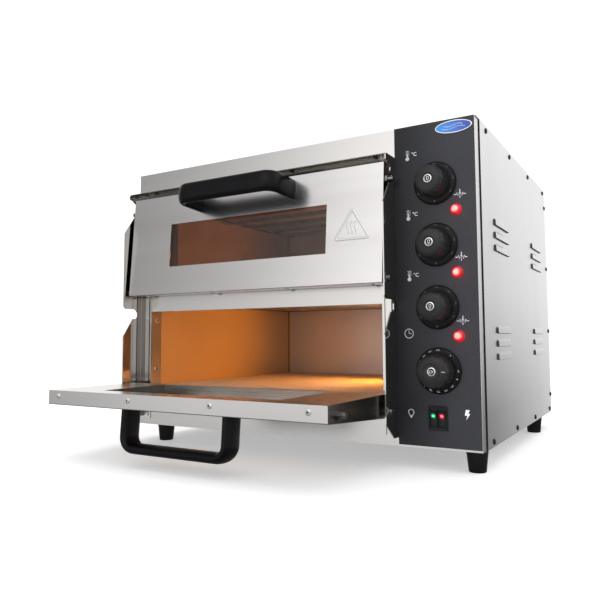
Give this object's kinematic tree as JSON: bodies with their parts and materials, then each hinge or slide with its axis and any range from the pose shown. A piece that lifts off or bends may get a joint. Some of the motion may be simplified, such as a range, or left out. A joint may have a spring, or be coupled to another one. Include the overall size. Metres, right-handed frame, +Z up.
{
  "type": "countertop pizza oven",
  "caption": "Double-deck electric countertop pizza oven with two drop-down doors, baking stones, three heaters, dial thermostats, timer and rocker switches.",
  "frame": {"origin": "middle of the bounding box's underside, with the lower door open and the upper door closed", "axes": "+Z up, +Y from the doors to the back panel, +X across the front towards the controls"},
  "size_m": [0.567, 0.6514, 0.43],
  "materials": {
    "brushed_steel": "satin brushed",
    "polished_steel": "bright rolled",
    "chamber_steel": "satin, heat tinted",
    "galvanised_sheet": "spangled",
    "fascia_black": "fine matt texture",
    "mineral_wool": "fibrous",
    "baking_stone": "porous",
    "lamp_glass": "clear",
    "heater_sheath": "oxidised",
    "control_body": "moulded",
    "red_lens": "translucent",
    "knob_plastic": "glossy",
    "spindle_steel": "zinc plated",
    "switch_plastic": "moulded",
    "green_rocker": "translucent",
    "red_rocker": "translucent",
    "badge_blue": "enamelled",
    "terminal_plastic": "moulded",
    "foot_rubber": "matt",
    "black_screw": "black oxide",
    "screw_steel": "bright",
    "door_glass": "brown tint",
    "handle_plastic": "satin gloss"
  },
  "bodies": {
    "casing": {"front_frame": "brushed_steel", "control_fascia": "fascia_black", "top_cover": "brushed_steel", "base_plate": "galvanised_sheet", "side_panel_left": "brushed_steel", "side_panel_right": "brushed_steel", "back_panel": "brushed_steel", "heat_shield": "galvanised_sheet", "insulation": "mineral_wool", "hinge_plate_left": "brushed_steel", "hinge_plate_right": "brushed_steel", "lintel_strip": "brushed_steel", "lower_chamber": "chamber_steel", "lower_stone": "baking_stone", "lower_lamp": "lamp_glass", "upper_chamber": "chamber_steel", "upper_stone": "baking_stone", "upper_lamp": "lamp_glass", "top_element": "heater_sheath", "top_thermostat": "control_body", "top_indicator": "red_lens", "middle_element": "heater_sheath", "middle_thermostat": "control_body", "middle_indicator": "red_lens", "bottom_element": "heater_sheath", "bottom_thermostat": "control_body", "bottom_indicator": "red_lens", "timer": "control_body", "rocker_housing": "switch_plastic", "badge": "badge_blue", "cable_gland": "switch_plastic", "terminal_block": "terminal_plastic", "feet": "foot_rubber", "foot_screws": "spindle_steel", "panel_screws": "black_screw", "mouth_screws": "screw_steel"},
    "upper_door": {"upper_door_skin": "brushed_steel", "upper_door_liner": "polished_steel", "upper_door_glass": "door_glass", "upper_door_retainer": "polished_steel", "upper_door_handle": "handle_plastic", "upper_door_screws": "screw_steel", "upper_door_pins": "screw_steel"},
    "lower_door": {"lower_door_skin": "brushed_steel", "lower_door_liner": "polished_steel", "lower_door_glass": "door_glass", "lower_door_retainer": "polished_steel", "lower_door_handle": "handle_plastic", "lower_door_screws": "screw_steel", "lower_door_pins": "screw_steel"},
    "top_dial": {"top_knob": "knob_plastic", "top_spindle": "spindle_steel"},
    "middle_dial": {"middle_knob": "knob_plastic", "middle_spindle": "spindle_steel"},
    "bottom_dial": {"bottom_knob": "knob_plastic", "bottom_spindle": "spindle_steel"},
    "timer_dial": {"timer_knob": "knob_plastic", "timer_spindle": "spindle_steel"},
    "light_switch": {"light_rocker": "green_rocker"},
    "power_switch": {"power_rocker": "red_rocker"}
  },
  "joints": [
    {"name": "upper_door_hinge", "type": "hinge", "parent": "casing", "child": "upper_door", "pos_m": [-0.04925, -0.17485, 0.2346], "axis": [1, 0, 0], "range_deg": [0, 90]},
    {"name": "lower_door_hinge", "type": "hinge", "parent": "casing", "child": "lower_door", "pos_m": [-0.04925, -0.17485, 0.0706], "axis": [1, 0, 0], "range_deg": [-90, 0]},
    {"name": "top_dial_turn", "type": "hinge", "parent": "casing", "child": "top_dial", "pos_m": [0.2282, -0.16135, 0.3512], "axis": [0, 1, 0], "range_deg": [-180, 120]},
    {"name": "middle_dial_turn", "type": "hinge", "parent": "casing", "child": "middle_dial", "pos_m": [0.2282, -0.16135, 0.2742], "axis": [0, 1, 0], "range_deg": [-180, 120]},
    {"name": "bottom_dial_turn", "type": "hinge", "parent": "casing", "child": "bottom_dial", "pos_m": [0.2282, -0.16135, 0.1972], "axis": [0, 1, 0], "range_deg": [-180, 120]},
    {"name": "timer_dial_turn", "type": "hinge", "parent": "casing", "child": "timer_dial", "pos_m": [0.2282, -0.16135, 0.1202], "axis": [0, 1, 0], "range_deg": [-90, 210]},
    {"name": "light_switch_tilt", "type": "hinge", "parent": "casing", "child": "light_switch", "pos_m": [0.2205, -0.14935, 0.0632], "axis": [1, 0, 0], "range_deg": [-18, 0]},
    {"name": "power_switch_tilt", "type": "hinge", "parent": "casing", "child": "power_switch", "pos_m": [0.2311, -0.14935, 0.0632], "axis": [1, 0, 0], "range_deg": [-18, 0]}
  ]
}
